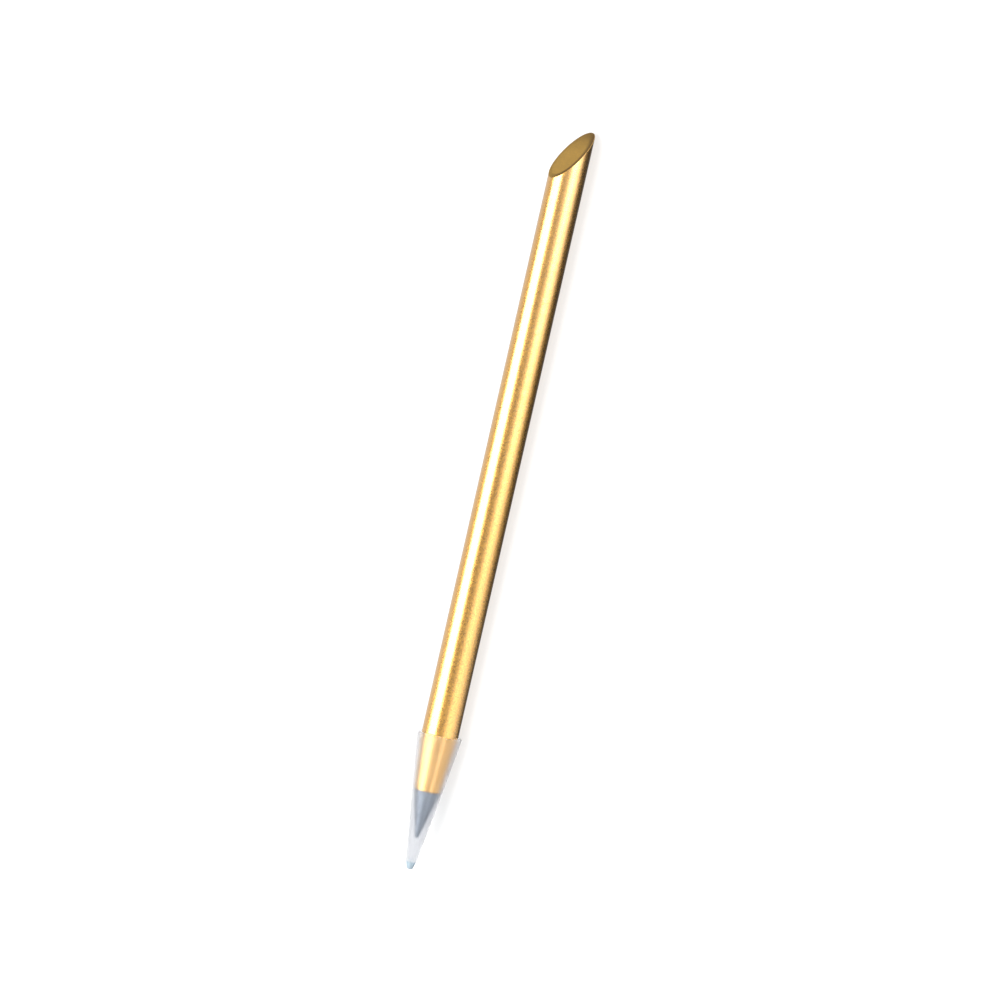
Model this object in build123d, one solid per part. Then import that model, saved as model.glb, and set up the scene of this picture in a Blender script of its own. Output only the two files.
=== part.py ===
from build123d import *
from math import asin, atan2, cos, hypot, radians, sin, tan
import os

# An inkless metal pencil with its push-on cap, lying on a table.
# The pencil's axis runs along X, with the nib towards -X and the slanted tail towards +X.
# The origin is on the table below the middle of the pencil's length, and +Z is up.
# Lengths are in millimetres and angles in degrees.

# Barrel: a solid turned bar with a tapered nose and a tail cut at a slant
barrel_diameter = 8.0
barrel_length = 144.7         # from the nib's seat to the end of the tail
nose_length = 12.4            # tapered length behind the seat
seat_diameter = 5.6           # front end of the nose, which the nib sits against
slant_angle = 34.2            # between the slanted face and the barrel's axis
tail_edge_radius = 0.1        # softened edge round the slanted face
seam_bevel = 0.08             # fine bevels that meet at the seam between nose and nib

# Nib: a cone of writing alloy with a rounded point
nib_length = 10.5
nib_point_radius = 0.45

# Stud: the nib's screw, with a plain spigot that the nib is bonded to
thread_diameter = 4.0
thread_pitch = 0.7
thread_turns = 8              # turns that it takes to screw the nib out
thread_clearance = 0.05       # between the thread's crests and the wall of its hole
thread_end_bevel = 0.5
relief_length = 0.6           # undercut between the nib and the first thread
relief_depth = 0.45
spigot_diameter = 2.0
spigot_length = 4.0
spigot_clearance = 0.03       # glue gap round the spigot
spigot_end_gap = 0.2          # glue gap past the spigot's end
spigot_end_bevel = 0.3

# Tapped hole in the barrel's nose
hole_runout = 1.5             # full-width depth past the stud's end
hole_mouth_bevel = 0.25
drill_point_angle = 118.0

# Cap: a thin moulded cone with a solid end, gripped by the edge of the nib's seat
cap_wall = 0.4                # measured square to the axis
cap_seat_clearance = 0.05     # between the cap's inside and the edge of the seat
cap_rim_clearance = 0.39      # between the rim's inside and the nose
cap_rim_setback = 0.2         # the rim stops this far short of the straight barrel
cap_rim_land = 0.7            # short straight lip at the rim
cap_nib_room = 4.8            # empty length inside the cap, past the nib's point
cap_bore_end_diameter = 1.55  # width of the cap's inside at its closed end
cap_end_thickness = 2.0
cap_end_diameter = 1.2        # the solid end tapers to this
cap_end_round = 0.25
cap_bore_end_round = 0.3
cap_rim_round = 0.12
cap_turn = 45.0               # how far the cap is turned on the nose; any turn fits
round_share = 0.8             # most of an end's radius, or of half a wall, that a rounding takes up

# Radii and lengths worked out from the sizes above, along the axis from the seat
barrel_radius = barrel_diameter / 2
seat_radius = seat_diameter / 2
thread_radius = thread_diameter / 2
thread_length = thread_pitch * thread_turns
relief_radius = thread_radius - relief_depth
spigot_radius = spigot_diameter / 2
hole_radius = thread_radius + thread_clearance
hole_depth = thread_length + hole_runout
hole_point = hole_radius / tan(radians(drill_point_angle / 2))

# The rounding of the tail's sharp edge takes this much off the point where face and barrel would meet.
tail_rounding = tail_edge_radius * (1 / tan(radians(slant_angle / 2)) - 1)
slant_point = barrel_length + tail_rounding

# Distances to the cap's rim, behind the seat, and to the ends of its inside and outside, ahead of it
rim_distance = nose_length - cap_rim_setback
cavity_distance = nib_length + cap_nib_room
cap_reach = cavity_distance + cap_end_thickness

# The cap's inner wall: at the rim, at the seat and at the closed end
nose_slope = (barrel_radius - seat_radius) / nose_length
rim_bore_radius = seat_radius + nose_slope * rim_distance + cap_rim_clearance
seat_bore_radius = seat_radius + cap_seat_clearance
end_bore_radius = cap_bore_end_diameter / 2

# The cap's outside, at the rim and at the very end
rim_radius = rim_bore_radius + cap_wall
end_radius = cap_end_diameter / 2

# The pencil lies on the cap's rim, its widest part, and its whole length is centred on the origin.
axis_height = rim_radius
seat_position = (cap_reach - barrel_length) / 2
placed = Location((seat_position, 0, axis_height))


def turned(*outline):
    """Solid of revolution about X. The outline is lines and curves above the axis, in the XZ plane."""
    return revolve(Plane.XZ * make_face(outline), Axis.X)


def turned_points(*points):
    """Solid of revolution about X from corner points, each a distance along the axis and a radius."""
    return turned(Polyline(*points, close=True))


def make_barrel():
    bar = turned_points(
        (0, 0),
        (0, seat_radius - seam_bevel),
        (seam_bevel, seat_radius),
        (nose_length, barrel_radius),
        (slant_point, barrel_radius),
        (slant_point, 0),
    )
    slant = radians(slant_angle)
    slant_plane = Plane(origin=(slant_point, 0, -barrel_radius), z_dir=(sin(slant), 0, cos(slant)))
    bar = split(bar, bisect_by=slant_plane, keep=Keep.BOTTOM)
    slanted_face = bar.faces().sort_by(Axis.X)[-1]
    bar = fillet(slanted_face.edges(), tail_edge_radius)
    land = seat_radius - hole_radius
    mouth_bevel = min(hole_mouth_bevel, land / 2)
    hole = turned_points(
        (0, 0),
        (0, hole_radius + mouth_bevel),
        (mouth_bevel, hole_radius),
        (hole_depth, hole_radius),
        (hole_depth + hole_point, 0),
    )
    return bar - hole


def make_nib_stud():
    return turned_points(
        (-spigot_length, 0),
        (-spigot_length, spigot_radius - spigot_end_bevel),
        (-spigot_length + spigot_end_bevel, spigot_radius),
        (0, spigot_radius),
        (0, relief_radius),
        (relief_length, relief_radius),
        (relief_length + relief_depth, thread_radius),
        (thread_length - thread_end_bevel, thread_radius),
        (thread_length, thread_radius - thread_end_bevel),
        (thread_length, 0),
    )


def make_nib():
    # The cone's side runs from the seat's edge to where it is tangent to the ball of the point.
    ball_centre = nib_length - nib_point_radius
    side_length = hypot(ball_centre - seam_bevel, seat_radius)
    side_angle = atan2(seat_radius, ball_centre - seam_bevel) - asin(nib_point_radius / side_length)
    side_end = (
        -ball_centre - nib_point_radius * sin(side_angle),
        nib_point_radius * cos(side_angle),
    )
    cone = turned(
        Polyline((-nib_length, 0), (0, 0), (0, seat_radius - seam_bevel), (-seam_bevel, seat_radius), side_end),
        RadiusArc(side_end, (-nib_length, 0), -nib_point_radius),
    )
    bore_radius = spigot_radius + spigot_clearance
    bore_depth = spigot_length + spigot_end_gap
    bore = turned_points((0, 0), (0, bore_radius), (-bore_depth, bore_radius), (-bore_depth, 0))
    return cone - bore


def make_cap():
    outside = turned_points(
        (rim_distance, 0),
        (rim_distance, rim_radius),
        (rim_distance - cap_rim_land, rim_radius),
        (0, seat_bore_radius + cap_wall),
        (-cavity_distance, end_bore_radius + cap_wall),
        (-cap_reach, end_radius),
        (-cap_reach, 0),
    )
    outer_end = outside.faces().sort_by(Axis.X)[0]
    outside = fillet(outer_end.edges(), min(cap_end_round, end_radius * round_share))
    inside = turned_points(
        (rim_distance, 0),
        (rim_distance, rim_bore_radius),
        (0, seat_bore_radius),
        (-cavity_distance, end_bore_radius),
        (-cavity_distance, 0),
    )
    inner_end = inside.faces().sort_by(Axis.X)[0]
    inside = fillet(inner_end.edges(), min(cap_bore_end_round, end_bore_radius * round_share))
    shell = outside - inside
    rim = shell.faces().sort_by(Axis.X)[-1]
    rim_round = min(cap_rim_round, cap_wall / 2 * round_share, cap_rim_land * round_share)
    return Rot(X=cap_turn) * fillet(rim.edges(), rim_round)


pieces = {
    "barrel": make_barrel(),
    "nib_stud": make_nib_stud(),
    "nib": make_nib(),
    "cap": make_cap(),
}

os.makedirs("parts", exist_ok=True)
for name, piece in pieces.items():
    export_step(placed * piece, f"parts/{name}.step")
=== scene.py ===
import math
import bmesh
import bpy
from mathutils import Matrix, Vector


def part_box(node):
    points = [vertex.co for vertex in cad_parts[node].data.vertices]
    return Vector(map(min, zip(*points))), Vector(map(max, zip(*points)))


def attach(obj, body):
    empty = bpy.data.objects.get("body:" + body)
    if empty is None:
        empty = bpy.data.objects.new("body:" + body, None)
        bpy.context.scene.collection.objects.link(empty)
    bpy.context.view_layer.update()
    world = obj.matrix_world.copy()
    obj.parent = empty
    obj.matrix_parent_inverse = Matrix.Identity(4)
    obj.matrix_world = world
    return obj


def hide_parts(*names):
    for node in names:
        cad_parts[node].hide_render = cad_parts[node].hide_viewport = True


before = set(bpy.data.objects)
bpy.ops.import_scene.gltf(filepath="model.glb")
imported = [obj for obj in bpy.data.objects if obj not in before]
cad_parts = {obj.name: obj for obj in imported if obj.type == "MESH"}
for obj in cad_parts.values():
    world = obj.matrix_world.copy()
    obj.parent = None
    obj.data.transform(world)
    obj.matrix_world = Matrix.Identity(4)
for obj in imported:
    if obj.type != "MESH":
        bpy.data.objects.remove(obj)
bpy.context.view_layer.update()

scene = bpy.context.scene
scene.view_settings.view_transform = "Standard"
mm = 0.001

# where the pencil lies: its axis runs along X, from the nib's point to the slanted tail
barrelLow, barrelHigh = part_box("barrel")
barrelRadius = (barrelHigh.z - barrelLow.z) / 2
axisHeight = (barrelLow.z + barrelHigh.z) / 2
axisPoint = Vector((0, 0, axisHeight))
tailX = barrelHigh.x
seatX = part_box("nib")[1].x
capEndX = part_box("cap")[0].x
print("frame loaded, seat at", round(seatX / mm, 3), "axis at", round(axisHeight / mm, 3))


# camera

viewSetup = {
    "lens": 100.0,
    "sensor": 36.0,
    "clip": (0.01, 20.0),
    "elevation": 38.62,
    "swing": 1.93,                 # towards the tail
    "roll": 12.82,
    "distance": 592.4 * mm,
    "aim": (0.04 * mm, 0.0, axisHeight),
    "sideStep": 1.422 * mm,        # the pencil sits a little left of the picture's middle
}


def placeCamera(setup):
    swing, rise, roll = (math.radians(setup[angle]) for angle in ("swing", "elevation", "roll"))
    back = Vector((math.sin(swing), -math.cos(swing) * math.cos(rise), math.cos(swing) * math.sin(rise)))
    along = (Vector((1, 0, 0)) - back * back.x).normalized()
    side = along.cross(back)
    up = along * math.cos(roll) - side * math.sin(roll)
    right = along * math.sin(roll) + side * math.cos(roll)
    lens = bpy.data.cameras.new("pencilCamera")
    lens.lens = setup["lens"]
    lens.sensor_width = setup["sensor"]
    lens.clip_start, lens.clip_end = setup["clip"]
    camera = bpy.data.objects.new("pencilCamera", lens)
    scene.collection.objects.link(camera)
    where = Vector(setup["aim"]) + back * setup["distance"] + right * setup["sideStep"]
    camera.matrix_world = Matrix.Translation(where) @ Matrix((right, up, back)).transposed().to_4x4()
    scene.camera = camera


placeCamera(viewSetup)
print("camera placed")


# small helpers for node trees and meshes

noiseRange = (0.3, 0.7)            # most of what a noise texture gives lies between these
mergeDistance = 1e-7
sharpAngle = math.radians(32.0)    # an edge that bends more than this stays crisp


def newMaterial(name):
    material = bpy.data.materials.new(name)
    material.use_nodes = True
    tree = material.node_tree
    return material, tree, tree.nodes["Principled BSDF"]


def addNode(tree, kind, inputs=(), **settings):
    made = tree.nodes.new(kind)
    for key, value in settings.items():
        setattr(made, key, value)
    for key, value in dict(inputs).items():
        if isinstance(value, bpy.types.NodeSocket):
            tree.links.new(value, made.inputs[key])
        else:
            made.inputs[key].default_value = value
    return made


def remap(tree, value, low, high, start, end):
    return addNode(tree, "ShaderNodeMapRange", {
        "Value": value, "From Min": low, "From Max": high, "To Min": start, "To Max": end}).outputs["Result"]


def spread(tree, noise, start, end):
    return remap(tree, noise, *noiseRange, start, end)


def mixColours(tree, share, first, second, blend="MIX"):
    inputs = {0: share, 6: first, 7: second}  # the Mix node's own sockets for colours
    return addNode(tree, "ShaderNodeMix", inputs, data_type="RGBA", blend_type=blend).outputs[2]


def mixValues(tree, share, first, second):
    return addNode(tree, "ShaderNodeMix", {0: share, 2: first, 3: second}, data_type="FLOAT").outputs[0]


def calculate(tree, operation, *values):
    return addNode(tree, "ShaderNodeMath", dict(enumerate(values)), operation=operation).outputs["Value"]


def vectorMath(tree, operation, output, *vectors):
    inputs = dict(enumerate(vectors))
    return addNode(tree, "ShaderNodeVectorMath", inputs, operation=operation).outputs[output]


def noiseTexture(tree, place, scale, detail, roughness=0.5):
    return addNode(tree, "ShaderNodeTexNoise", {
        "Vector": place, "Scale": scale, "Detail": detail, "Roughness": roughness}).outputs["Fac"]


def bumpFrom(tree, height, depth, under=None):
    inputs = {"Height": height, "Distance": depth, "Strength": 1.0}
    if under is not None:
        inputs["Normal"] = under
    return addNode(tree, "ShaderNodeBump", inputs).outputs["Normal"]


def finishPiece(bm, name, material, body):
    bmesh.ops.remove_doubles(bm, verts=bm.verts, dist=mergeDistance)
    bmesh.ops.recalc_face_normals(bm, faces=bm.faces)
    mesh = bpy.data.meshes.new(name)
    bm.to_mesh(mesh)
    bm.free()
    mesh.shade_smooth()
    mesh.set_sharp_from_angle(angle=sharpAngle)
    mesh.materials.append(material)
    piece = bpy.data.objects.new(name, mesh)
    scene.collection.objects.link(piece)
    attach(piece, body)
    print("made", name, len(mesh.polygons), "faces")
    return piece


# gold barrel: bead-blasted and anodised, with a finer, duller slanted face; the face's darker gold is partly
# painted shade, and its rim and tip carry painted shade

barrelFinish = {
    "gold": (0.82, 0.41, 0.044, 1),
    "paleGold": (0.85, 0.44, 0.055, 1),
    "cloudScale": 90.0,            # of the slow change from one gold to the other
    "speckle": 0.15,               # how far the blasted grain lightens and darkens the gold
    "grain": 0.44 * mm,
    "grainDepth": 0.028 * mm,
    "wave": 1.7 * mm,              # the blasting leaves the bar very slightly uneven
    "waveDepth": 0.02 * mm,
    "roughness": (0.25, 0.34),
    "oxideIor": 2.25,              # the clear anodic layer over the metal
    "oxideRoughness": 0.22,
    "slantAngle": 34.2,
    "faceDepth": (0.03 * mm, 0.008 * mm),  # how far below the face its finish begins and is full
    # the face's gold is darker than the barrel's partly for its finer finish and partly as painted shade
    "faceGoldWithShade": (0.61, 0.37, 0.085, 1),
    "faceMottle": 0.07,
    "faceRoughness": (0.40, 0.48),
    # painted shade: the dark brown that the face's rim and tip are darkened towards
    "paintedFaceShade": (0.13, 0.068, 0.02, 1),
    "edgeShadeReach": (11.0 * mm, 1.0 * mm),  # the face's painted dark edge, painted shade of its rounded rim, widens and fades between these, before the tip
    "edgeShadeWidth": (0.65 * mm, 1.6 * mm),
    "edgeShadeShare": (0.8, 0.75),
    "edgeShadeFull": 0.45 * mm,         # how near the barrel's side the painted edge shade is darkest
    "edgeShadeAcross": (-2.0 * mm, 1.0 * mm),  # the painted edge shade is full at this Y, on the near side, and fainter at this one
    "edgeShadeSides": (1.0, 0.3),
    "tipShadeReach": (5.0 * mm, 0.2 * mm),  # painted shade: the whole face darkens between these distances from the tip
    "tipShadeShare": 0.42,
}


def faceColourWithShade(tree, finish, place, grain):
    axes = addNode(tree, "ShaderNodeSeparateXYZ", {"Vector": place}).outputs
    mottle = spread(tree, grain, 1 - finish["faceMottle"], 1 + finish["faceMottle"])
    cut = mixColours(tree, 1.0, finish["faceGoldWithShade"], mottle, "MULTIPLY")
    # painted shade: the face is darkened towards the tip, towards the painted shade colour
    tipShadeRange = [tailX - reach for reach in finish["tipShadeReach"]]
    tip = remap(tree, axes["X"], *tipShadeRange, 0.0, finish["tipShadeShare"])
    cut = mixColours(tree, tip, cut, finish["paintedFaceShade"])
    # painted shade: a dark line round the face's rim, widening towards the tip and strongest on the near
    # side, stands in for the rounded edge's dark reflection
    fromAxis = vectorMath(tree, "SUBTRACT", "Vector", place, axisPoint)
    across = vectorMath(tree, "MULTIPLY", "Vector", fromAxis, (0, 1, 1))  # leaves X out
    radius = vectorMath(tree, "LENGTH", "Value", across)
    edgeShadeRange = [tailX - reach for reach in finish["edgeShadeReach"]]
    edgeShadeInner = remap(tree, axes["X"], *edgeShadeRange, *(barrelRadius - width for width in finish["edgeShadeWidth"]))
    edge = remap(tree, radius, edgeShadeInner, barrelRadius - finish["edgeShadeFull"], 0.0, 1.0)
    edge = calculate(tree, "MULTIPLY", edge, remap(tree, axes["X"], *edgeShadeRange, *finish["edgeShadeShare"]))
    edgeShadeSide = remap(tree, axes["Y"], *finish["edgeShadeAcross"], *finish["edgeShadeSides"])
    edge = calculate(tree, "MULTIPLY", edge, edgeShadeSide)
    return mixColours(tree, edge, cut, finish["paintedFaceShade"])


def makeGold(finish):
    material, tree, shader = newMaterial("goldAnodised")
    place = addNode(tree, "ShaderNodeTexCoord").outputs["Object"]
    grain = noiseTexture(tree, place, 1 / finish["grain"], detail=3.0, roughness=0.6)
    slant = math.radians(finish["slantAngle"])
    lean = Vector((math.sin(slant), 0, math.cos(slant)))
    faceLevel = max(vertex.co.dot(lean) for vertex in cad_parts["barrel"].data.vertices)
    height = vectorMath(tree, "DOT_PRODUCT", "Value", place, lean)
    face = remap(tree, height, *(faceLevel - depth for depth in finish["faceDepth"]), 0.0, 1.0)
    cloud = noiseTexture(tree, place, finish["cloudScale"], detail=2.0)
    side = mixColours(tree, spread(tree, cloud, 0.0, 1.0), finish["gold"], finish["paleGold"])
    speckle = spread(tree, grain, 1 - finish["speckle"], 1 + finish["speckle"])
    side = mixColours(tree, 1.0, side, speckle, "MULTIPLY")
    cut = faceColourWithShade(tree, finish, place, grain)
    tree.links.new(mixColours(tree, face, side, cut), shader.inputs["Base Color"])
    sideRough = spread(tree, grain, *finish["roughness"])
    cutRough = spread(tree, grain, *finish["faceRoughness"])
    tree.links.new(mixValues(tree, face, sideRough, cutRough), shader.inputs["Roughness"])
    wave = noiseTexture(tree, place, 1 / finish["wave"], detail=1.0)
    uneven = bumpFrom(tree, wave, finish["waveDepth"])
    tree.links.new(bumpFrom(tree, grain, finish["grainDepth"], uneven), shader.inputs["Normal"])
    tree.links.new(uneven, shader.inputs["Coat Normal"])
    tree.links.new(remap(tree, face, 0.0, 1.0, 1.0, 0.0), shader.inputs["Coat Weight"])
    shader.inputs["Metallic"].default_value = 1.0
    shader.inputs["Coat IOR"].default_value = finish["oxideIor"]
    shader.inputs["Coat Roughness"].default_value = finish["oxideRoughness"]
    return material


goldAnodised = makeGold(barrelFinish)
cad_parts["barrel"].material_slots[0].material = goldAnodised
print("barrel finished")


# grey writing point: turned alloy with fine rings round the axis

nibFinish = {
    "alloy": (0.285, 0.32, 0.365, 1),
    "paleAlloy": (0.34, 0.375, 0.42, 1),
    "speckScale": 2600.0,
    "roughness": (0.34, 0.46),
    "ringPitch": 0.06 * mm,
    "ringDepth": 0.002 * mm,
}


def makeTurned(name, finish):
    material, tree, shader = newMaterial(name)
    place = addNode(tree, "ShaderNodeTexCoord").outputs["Object"]
    along = addNode(tree, "ShaderNodeSeparateXYZ", {"Vector": place}).outputs["X"]
    rings = addNode(tree, "ShaderNodeTexNoise", {
        "W": along, "Scale": 1 / finish["ringPitch"], "Detail": 3.0}, noise_dimensions="1D").outputs["Fac"]
    specks = noiseTexture(tree, place, finish["speckScale"], detail=3.0)
    tone = mixColours(tree, spread(tree, specks, 0.0, 1.0), finish["alloy"], finish["paleAlloy"])
    tree.links.new(tone, shader.inputs["Base Color"])
    tree.links.new(spread(tree, rings, *finish["roughness"]), shader.inputs["Roughness"])
    tree.links.new(bumpFrom(tree, rings, finish["ringDepth"]), shader.inputs["Normal"])
    shader.inputs["Metallic"].default_value = 1.0
    return material


writingAlloy = makeTurned("writingAlloy", nibFinish)
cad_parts["nib"].material_slots[0].material = writingAlloy
print("nib finished")


# threaded stud behind the nib: a turned core, with the thread as a ridge wound round it

studShape = {                      # radii, and distances from the seat, in millimetres
    "core": 1.571, "crest": 2.0, "crestWidth": 0.0875, "pitch": 0.7,
    "relief": 1.55, "reliefLength": 0.6,
    "threadEnd": 5.6, "endBevel": 0.5,
    "spigot": 1.0, "spigotLength": 4.0, "spigotBevel": 0.3,
    "ridgeStart": 0.75, "ridgeTurns": 6.4,
    "sunk": 0.07,                  # how far the ridge's foot goes into the core
    "flankAngle": 30.0,
    "stepsPerTurn": 96, "latheSteps": 128,
}
studFinish = {
    "alloy": (0.56, 0.56, 0.54, 1),
    "paleAlloy": (0.64, 0.64, 0.62, 1),
    "speckScale": 2600.0,
    "roughness": (0.24, 0.36),
    "ringPitch": 0.05 * mm,
    "ringDepth": 0.0012 * mm,
}


def lathe(outline, steps):
    bm = bmesh.new()
    verts = [bm.verts.new((seatX + x * mm, 0, radius * mm)) for x, radius in outline]
    edges = [bm.edges.new(pair) for pair in zip(verts, verts[1:])]
    bmesh.ops.spin(
        bm, geom=verts + edges, cent=(0, 0, 0), axis=(1, 0, 0), angle=math.tau, steps=steps, use_merge=True)
    bmesh.ops.translate(bm, vec=axisPoint, verts=bm.verts)
    return bm


def ridgeSection(start, foot, crest, crestWidth):
    half = crestWidth / 2
    footHalf = half + abs(crest - foot) * math.tan(math.radians(studShape["flankAngle"]))
    return [(start - footHalf, foot), (start - half, crest), (start + half, crest), (start + footHalf, foot)]


def woundRidge(section, turns, limit=None):
    bm = bmesh.new()
    verts = [bm.verts.new((seatX + x * mm, 0, radius * mm)) for x, radius in section]
    edges = [bm.edges.new(pair) for pair in zip(verts, verts[1:] + verts[:1])]
    steps = studShape["stepsPerTurn"]
    bmesh.ops.spin(
        bm, geom=verts + edges, cent=(0, 0, 0), axis=(1, 0, 0), dvec=(studShape["pitch"] * mm / steps, 0, 0),
        angle=math.tau * turns, steps=round(turns * steps))
    openEdges = [edge for edge in bm.edges if edge.is_boundary]
    bmesh.ops.holes_fill(bm, edges=openEdges, sides=len(section))
    if limit:
        for vert in bm.verts:
            radius = math.hypot(vert.co.y, vert.co.z)
            allowed = limit((vert.co.x - seatX) / mm, radius / mm) * mm
            vert.co.y *= allowed / radius
            vert.co.z *= allowed / radius
    bmesh.ops.translate(bm, vec=axisPoint, verts=bm.verts)
    return bm


def studOutline(shape):
    bevelFoot = shape["crest"] - shape["endBevel"]
    coreEnd = shape["threadEnd"] + bevelFoot - shape["core"]  # where the end's bevel meets the core
    return [
        (-shape["spigotLength"], 0),
        (-shape["spigotLength"], shape["spigot"] - shape["spigotBevel"]),
        (-shape["spigotLength"] + shape["spigotBevel"], shape["spigot"]),
        (0, shape["spigot"]),
        (0, shape["relief"]),
        (shape["reliefLength"], shape["relief"]),
        (shape["reliefLength"] + shape["core"] - shape["relief"], shape["core"]),
        (coreEnd, shape["core"]),
        (shape["threadEnd"], bevelFoot),
        (shape["threadEnd"], 0),
    ]


def studLimit(x, radius):          # the ridge runs out where the core's ends are bevelled
    foot = studShape["core"] - studShape["sunk"]
    rising = studShape["relief"] + max(0.0, x - studShape["reliefLength"])
    falling = studShape["crest"] - max(0.0, x - (studShape["threadEnd"] - studShape["endBevel"]))
    return max(min(radius, rising, falling), min(radius, foot))


studSteel = makeTurned("studSteel", studFinish)
coreMesh = lathe(studOutline(studShape), studShape["latheSteps"])
studCore = finishPiece(coreMesh, "studCore", studSteel, "nib_stud")
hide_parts("nib_stud")
ridgeFoot = studShape["core"] - studShape["sunk"]
studRidge = ridgeSection(studShape["ridgeStart"], ridgeFoot, studShape["crest"], studShape["crestWidth"])
ridgeMesh = woundRidge(studRidge, studShape["ridgeTurns"], studLimit)
finishPiece(ridgeMesh, "studThread", studSteel, "nib")


# tapped hole in the nose: the matching ridge stands on the hole's wall

tapShape = {                       # in millimetres, as for the stud
    "wall": 2.05, "sunk": 0.05,    # how far the ridge's foot goes into the wall
    "crest": 1.66, "crestWidth": 0.12,
    "start": 0.77, "turns": 8.6,
}
tapRidge = ridgeSection(
    tapShape["start"], tapShape["wall"] + tapShape["sunk"], tapShape["crest"], tapShape["crestWidth"])
finishPiece(woundRidge(tapRidge, tapShape["turns"]), "tappedThread", goldAnodised, "barrel")


# push-on cap: frosted see-through plastic, bluish where its end is solid

capFinish = {
    "clear": (0.88, 0.889, 0.905, 1),
    "milky": (0.825, 0.835, 0.855, 1),  # the narrow part ahead of the nib, whose walls look denser
    "milkyReach": (6.0 * mm, 0.0 * mm),  # how far ahead of the seat it is full, and where it begins
    "solid": (0.465, 0.565, 0.63, 1),
    "solidLength": 1.6 * mm,
    "solidBlend": 0.2 * mm,        # the solid end's colour fades in over this much, either way
    "roughness": (0.51, 0.58),
    "transmission": (0.985, 0.50),  # of the thin wall and of the solid end
    "ior": 1.18,
    "frost": 0.10 * mm,
    "frostDepth": 0.001 * mm,
}


def makeFrosted(finish):
    material, tree, shader = newMaterial("frostedPlastic")
    place = addNode(tree, "ShaderNodeTexCoord").outputs["Object"]
    along = addNode(tree, "ShaderNodeSeparateXYZ", {"Vector": place}).outputs["X"]
    milkyRange = [seatX - reach for reach in finish["milkyReach"]]
    milky = remap(tree, along, *milkyRange, 1.0, 0.0)
    wall = mixColours(tree, milky, finish["clear"], finish["milky"])
    solidX, blend = capEndX + finish["solidLength"], finish["solidBlend"]
    solid = remap(tree, along, solidX - blend, solidX + blend, 1.0, 0.0)
    tree.links.new(mixColours(tree, solid, wall, finish["solid"]), shader.inputs["Base Color"])
    frost = noiseTexture(tree, place, 1 / finish["frost"], detail=3.0)
    tree.links.new(spread(tree, frost, *finish["roughness"]), shader.inputs["Roughness"])
    tree.links.new(bumpFrom(tree, frost, finish["frostDepth"]), shader.inputs["Normal"])
    transmission = remap(tree, solid, 0.0, 1.0, *finish["transmission"])
    tree.links.new(transmission, shader.inputs["Transmission Weight"])
    shader.inputs["IOR"].default_value = finish["ior"]
    return material


frostedPlastic = makeFrosted(capFinish)
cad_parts["cap"].material_slots[0].material = frostedPlastic
print("cap finished")


# pale floor, which looks white and keeps the pencil's shadow

floorLook = {"half": 3.0, "colour": (0.23, 0.23, 0.23, 1), "glow": 0.74}


def layFloor(look):
    material, tree, shader = newMaterial("paleFloor")
    shader.inputs["Base Color"].default_value = look["colour"]
    shader.inputs["Roughness"].default_value = 1.0
    shader.inputs["Specular IOR Level"].default_value = 0.0
    shader.inputs["Emission Color"].default_value = (1, 1, 1, 1)
    rays = addNode(tree, "ShaderNodeLightPath").outputs
    seen = calculate(tree, "MAXIMUM", rays["Is Camera Ray"], rays["Is Glossy Ray"])
    seen = calculate(tree, "MAXIMUM", seen, rays["Is Transmission Ray"])
    tree.links.new(remap(tree, seen, 0.0, 1.0, 0.0, look["glow"]), shader.inputs["Emission Strength"])
    bm = bmesh.new()
    bmesh.ops.create_grid(bm, x_segments=1, y_segments=1, size=look["half"])
    mesh = bpy.data.meshes.new("floor")
    bm.to_mesh(mesh)
    bm.free()
    mesh.materials.append(material)
    floor = bpy.data.objects.new("floor", mesh)
    scene.collection.objects.link(floor)
    floor.visible_glossy = False   # the gold mirrors the studio round it


layFloor(floorLook)


# studio round the pencil, whose brightness the metal mirrors

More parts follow.
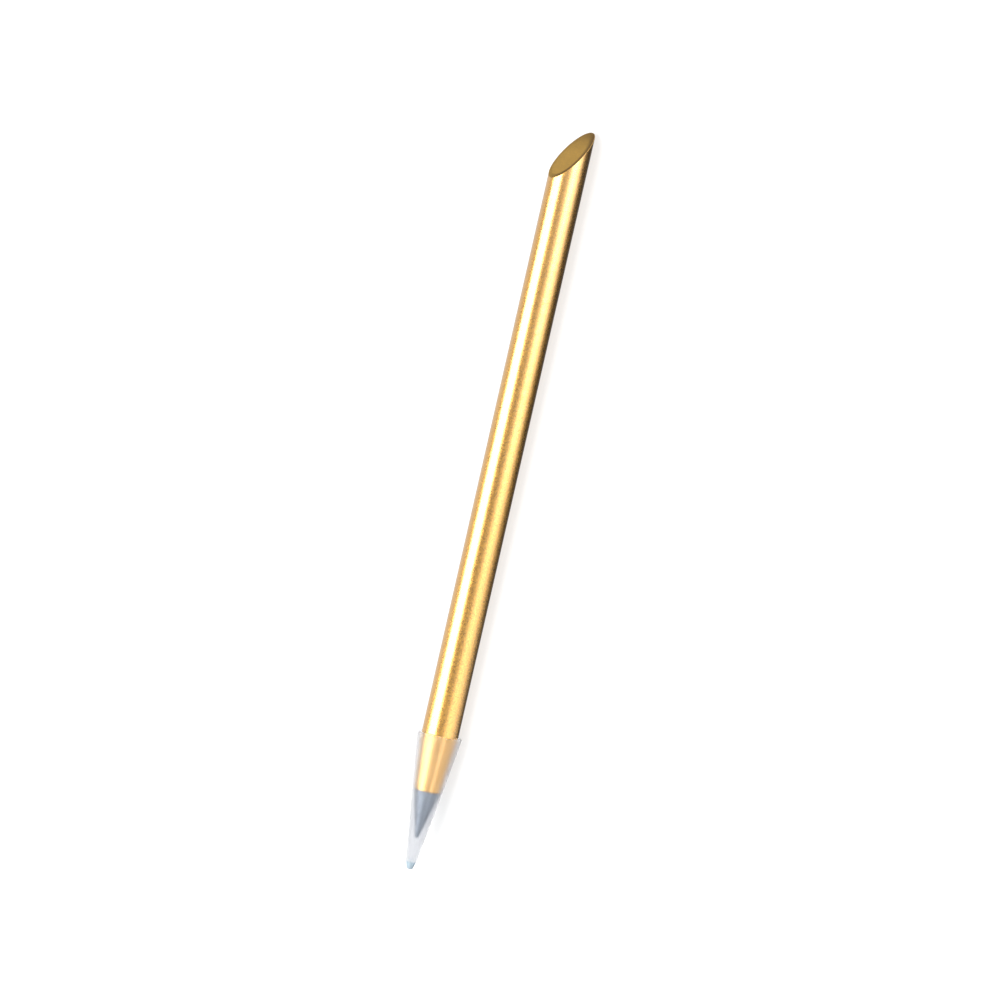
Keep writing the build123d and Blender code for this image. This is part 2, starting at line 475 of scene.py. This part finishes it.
worldLook = {
    # brightness by the sine of the elevation: three fronts from nib to tail, the back, and past the ends
    "frontNib": (
        (-1.0, 0.25), (-0.95, 0.65), (-0.90, 0.95), (-0.79, 1.20), (-0.67, 1.30), (-0.50, 1.30),
        (-0.21, 1.12), (0.0, 1.0), (0.17, 0.70), (0.34, 0.45), (0.50, 0.33), (0.60, 0.26),
        (0.70, 0.20), (0.80, 0.20), (0.88, 0.42), (0.95, 1.0)),
    "frontMiddle": (
        (-1.0, 0.02), (-0.90, 0.03), (-0.79, 0.18), (-0.67, 0.65), (-0.50, 1.08), (-0.21, 1.32),
        (0.0, 1.26), (0.17, 0.90), (0.34, 0.57), (0.50, 0.37), (0.60, 0.23), (0.70, 0.15),
        (0.80, 0.15), (0.88, 0.42), (0.95, 1.1)),
    "frontTail": (
        (-1.0, 0.08), (-0.90, 0.16), (-0.79, 0.80), (-0.67, 2.2), (-0.50, 3.3), (-0.21, 6.5),
        (0.0, 6.3), (0.17, 3.2), (0.34, 1.7), (0.50, 1.2), (0.60, 1.0), (0.70, 0.90),
        (0.80, 0.90), (0.88, 1.2), (0.95, 2.0)),
    "back": (
        (-1.0, 0.06), (-0.85, 0.18), (-0.60, 0.62), (-0.20, 0.82), (0.20, 0.84), (0.55, 0.82),
        (0.77, 0.38), (1.0, 0.12)),
    "ends": (
        (-1.0, 0.30), (-0.60, 0.50), (-0.30, 1.1), (-0.05, 1.3), (0.08, 0.60), (0.20, 0.30),
        (0.33, 0.40), (0.48, 1.6), (0.60, 2.6), (0.75, 2.8), (1.0, 2.2)),
    # times this, by how far a direction leans along the pencil
    "alongFront": (
        (-0.7, 1.2), (-0.44, 3.0), (-0.28, 1.9), (-0.17, 1.0), (0.12, 1.0), (0.25, 0.5), (0.55, 0.25)),
    "alongBack": ((-0.7, 1.0), (-0.35, 1.1), (-0.13, 1.0), (0.2, 0.9), (0.65, 0.6)),
    # where one of them gives way to the next
    "nibToMiddle": (-0.13, -0.065),
    "middleToTail": (0.015, 0.09),
    "frontToBack": (-0.15, 0.15),
    "sidesToEnds": (0.54, 0.70),
}


def brightnessRamp(tree, value, stops):
    ramp = addNode(tree, "ShaderNodeValToRGB", {"Fac": remap(tree, value, -1.0, 1.0, 0.0, 1.0)})
    elements = ramp.color_ramp.elements
    while len(elements) < len(stops):
        elements.new(0.5)
    for element, (place, level) in zip(elements, stops):
        element.position = (place + 1) / 2
        element.color = (level, level, level, 1)
    return ramp.outputs["Color"]


def buildStudio(look):
    world = bpy.data.worlds.new("studio")
    scene.world = world
    world.use_nodes = True
    tree = world.node_tree
    direction = addNode(tree, "ShaderNodeTexCoord").outputs["Generated"]
    axes = addNode(tree, "ShaderNodeSeparateXYZ", {"Vector": direction}).outputs

    def rising(name):
        return brightnessRamp(tree, axes["Z"], look[name])

    def leaning(name):
        return brightnessRamp(tree, axes["X"], look[name])

    def change(name, value):
        return remap(tree, value, *look[name], 0.0, 1.0)

    front = mixColours(tree, change("nibToMiddle", axes["X"]), rising("frontNib"), rising("frontMiddle"))
    front = mixColours(tree, change("middleToTail", axes["X"]), front, rising("frontTail"))
    front = mixColours(tree, 1.0, front, leaning("alongFront"), "MULTIPLY")
    back = mixColours(tree, 1.0, rising("back"), leaning("alongBack"), "MULTIPLY")
    level = mixColours(tree, change("frontToBack", axes["Y"]), front, back)
    reach = calculate(tree, "ABSOLUTE", axes["X"])
    level = mixColours(tree, change("sidesToEnds", reach), level, rising("ends"))
    background = tree.nodes["Background"]
    tree.links.new(level, background.inputs["Color"])
    background.inputs["Strength"].default_value = 1.0


buildStudio(worldLook)


# soft boxes, turned about X from the front horizon and shifted along X, with sizes along X and across

lampSetup = {
    "topBox": {"turn": 93.8, "shift": 0.02, "distance": 0.60, "size": (0.34, 0.56), "radiance": 5.3},
    "capBox": {"turn": 98.5, "shift": -0.245, "distance": 0.62, "size": (0.18, 0.61), "radiance": 5.4},
    "capFill": {"turn": 50.0, "shift": -0.32, "distance": 0.62, "size": (0.16, 0.40), "radiance": 1.85},
    "capGlow": {"turn": 5.0, "shift": -0.30, "distance": 0.62, "size": (0.22, 0.10), "radiance": 3.1},
}


def hangLamp(name, setup):
    lamp = bpy.data.lights.new(name, "AREA")
    lamp.shape = "RECTANGLE"
    sizeAlong, sizeAcross = setup["size"]
    lamp.size, lamp.size_y = sizeAlong, sizeAcross
    lamp.energy = setup["radiance"] * math.pi * sizeAlong * sizeAcross
    holder = bpy.data.objects.new(name, lamp)
    scene.collection.objects.link(holder)
    turn = math.radians(setup["turn"])
    away = Vector((0, -math.cos(turn), math.sin(turn)))
    along = Vector((1, 0, 0))
    where = axisPoint + away * setup["distance"] + along * setup["shift"]
    facing = Matrix((along, away.cross(along), away)).transposed().to_4x4()
    holder.matrix_world = Matrix.Translation(where) @ facing


for lampName, setup in lampSetup.items():
    hangLamp(lampName, setup)
print("floor, world and lights set")
